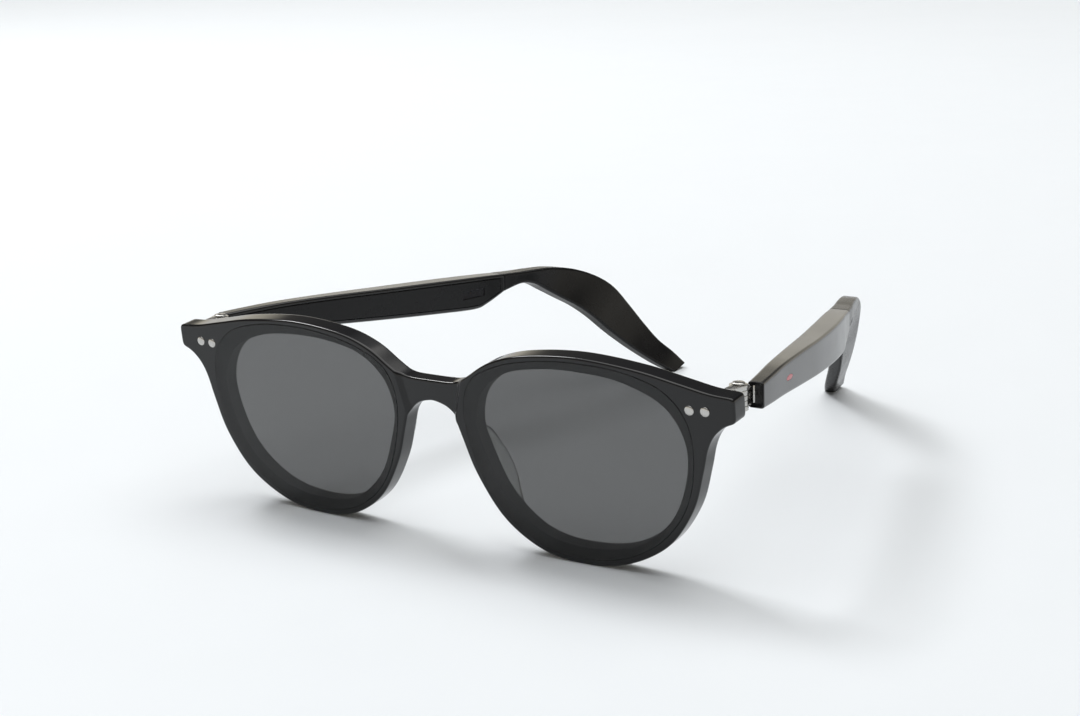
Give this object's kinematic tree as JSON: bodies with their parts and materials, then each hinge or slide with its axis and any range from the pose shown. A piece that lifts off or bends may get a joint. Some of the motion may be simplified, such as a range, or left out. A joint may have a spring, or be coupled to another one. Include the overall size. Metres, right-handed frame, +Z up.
{
  "type": "smart glasses",
  "caption": "Tinted smart sunglasses with round full-rim front, riveted end pieces, steel hinges and folding audio temples with bent ear tips.",
  "frame": {"origin": "middle of the overall box, on the table plane that the rim bottoms and ear tips touch", "axes": "+Z up, the front of the glasses faces -Y, +X is the wearer's left, temples run towards +Y"},
  "size_m": [0.144, 0.1508, 0.0456],
  "materials": {
    "black_acetate": "polished black acetate",
    "clear_acetate": "clear polished acetate nose pad",
    "tinted_lens": "grey tinted nylon lens, clear and glossy",
    "polished_steel": "polished stainless steel",
    "moulded_nylon": "gloss black moulded nylon",
    "soft_tip": "black moulded tip, soft gloss",
    "board_green": "solder-masked circuit board",
    "cell_foil": "aluminium laminate foil",
    "driver_black": "moulded driver housing",
    "woven_steel": "blackened woven steel mesh",
    "flex_amber": "polyimide flexible circuit",
    "coil_copper": "enamelled copper coil",
    "light_window": "translucent status light window"
  },
  "bodies": {
    "front": {"front_frame": "black_acetate", "lens_left": "tinted_lens", "nose_pad_left": "clear_acetate", "rivet_inner_left": "polished_steel", "rivet_outer_left": "polished_steel", "hinge_front_leaf_left": "polished_steel", "hinge_screw_left": "polished_steel", "lens_right": "tinted_lens", "nose_pad_right": "clear_acetate", "rivet_inner_right": "polished_steel", "rivet_outer_right": "polished_steel", "hinge_front_leaf_right": "polished_steel", "hinge_screw_right": "polished_steel"},
    "left_temple": {"hinge_temple_leaf_left": "polished_steel", "temple_case_left": "moulded_nylon", "temple_cover_left": "soft_tip", "ear_tip_left": "soft_tip", "tip_core_left": "polished_steel", "leaf_screw_front_left": "polished_steel", "leaf_screw_rear_left": "polished_steel", "main_board_left": "board_green", "battery_left": "cell_foil", "speaker_driver_left": "driver_black", "touch_flex_left": "flex_amber", "antenna_flex_left": "flex_amber", "charging_coil_left": "coil_copper", "microphone_left": "cell_foil", "microphone_mesh_left": "woven_steel", "vent_mesh_left": "woven_steel", "speaker_mesh_left": "woven_steel", "status_light": "light_window"},
    "right_temple": {"hinge_temple_leaf_right": "polished_steel", "temple_case_right": "moulded_nylon", "temple_cover_right": "soft_tip", "ear_tip_right": "soft_tip", "tip_core_right": "polished_steel", "leaf_screw_front_right": "polished_steel", "leaf_screw_rear_right": "polished_steel", "main_board_right": "board_green", "battery_right": "cell_foil", "speaker_driver_right": "driver_black", "touch_flex_right": "flex_amber", "antenna_flex_right": "flex_amber", "charging_coil_right": "coil_copper", "microphone_right": "cell_foil", "microphone_mesh_right": "woven_steel", "vent_mesh_right": "woven_steel", "speaker_mesh_right": "woven_steel"}
  },
  "joints": [
    {"name": "left_temple_fold", "type": "hinge", "parent": "front", "child": "left_temple", "pos_m": [0.068, -0.06405, 0.03833], "axis": [0, 0, 1], "range_deg": [-10, 72]},
    {"name": "right_temple_fold", "type": "hinge", "parent": "front", "child": "right_temple", "pos_m": [-0.068, -0.06405, 0.03833], "axis": [0, 0, -1], "range_deg": [-10, 54]}
  ]
}
